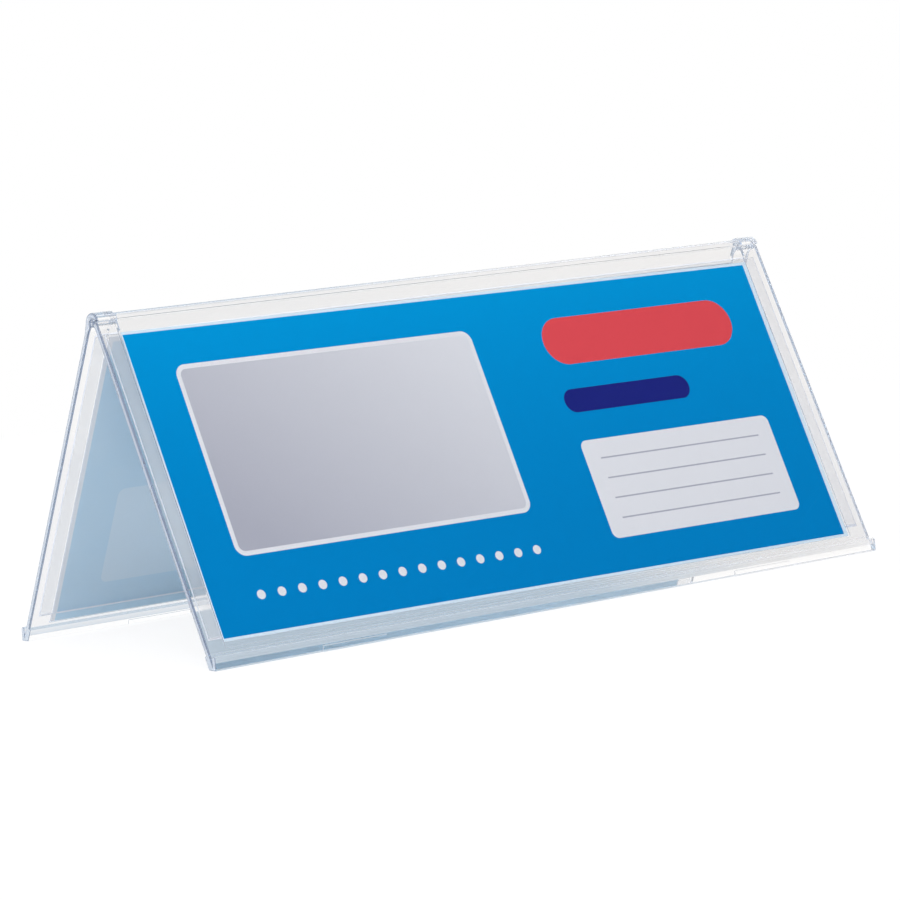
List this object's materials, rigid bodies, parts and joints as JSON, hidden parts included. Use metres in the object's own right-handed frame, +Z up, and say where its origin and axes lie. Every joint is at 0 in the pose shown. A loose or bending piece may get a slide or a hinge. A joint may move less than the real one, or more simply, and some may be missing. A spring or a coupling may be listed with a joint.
{
  "type": "table card stand",
  "caption": "Clear plastic tent-shaped table card stand: hinged leaves with lipped feet, each holding a printed card between a window and a back plate.",
  "frame": {"origin": "on the table, under the middle of the ridge", "axes": "+Z up, +X along the ridge, front leaf on the -Y side"},
  "size_m": [0.212, 0.0848, 0.0827],
  "materials": {
    "clear_leaf": "clear moulded polystyrene, polished, faint blue tint along the edges",
    "clear_plate": "thin clear polystyrene sheet, polished",
    "printed_card": "coated card, blue print on the outer face, bare paper behind"
  },
  "bodies": {
    "front_side": {"front_window": "clear_leaf", "front_left_spacer": "clear_leaf", "front_right_spacer": "clear_leaf", "front_foot": "clear_leaf", "left_pivot_pin": "clear_leaf", "right_pivot_pin": "clear_leaf", "front_back_plate": "clear_plate"},
    "rear_side": {"rear_window": "clear_leaf", "rear_left_spacer": "clear_leaf", "rear_right_spacer": "clear_leaf", "rear_foot": "clear_leaf", "left_hook": "clear_leaf", "right_hook": "clear_leaf", "rear_back_plate": "clear_plate"},
    "front_insert": {"front_card": "printed_card"},
    "rear_insert": {"rear_card": "printed_card"}
  },
  "joints": [
    {"name": "leaf_fold", "type": "hinge", "parent": "front_side", "child": "rear_side", "pos_m": [0, 0, 0.07991], "axis": [-1, 0, 0], "range_deg": [0, 52.5]},
    {"name": "front_card_slide", "type": "slide", "parent": "front_side", "child": "front_insert", "axis": [0, 0.4423, 0.8969], "range_m": [0, 0.088]},
    {"name": "rear_card_slide", "type": "slide", "parent": "rear_side", "child": "rear_insert", "axis": [0, -0.4423, 0.8969], "range_m": [0, 0.088]}
  ]
}
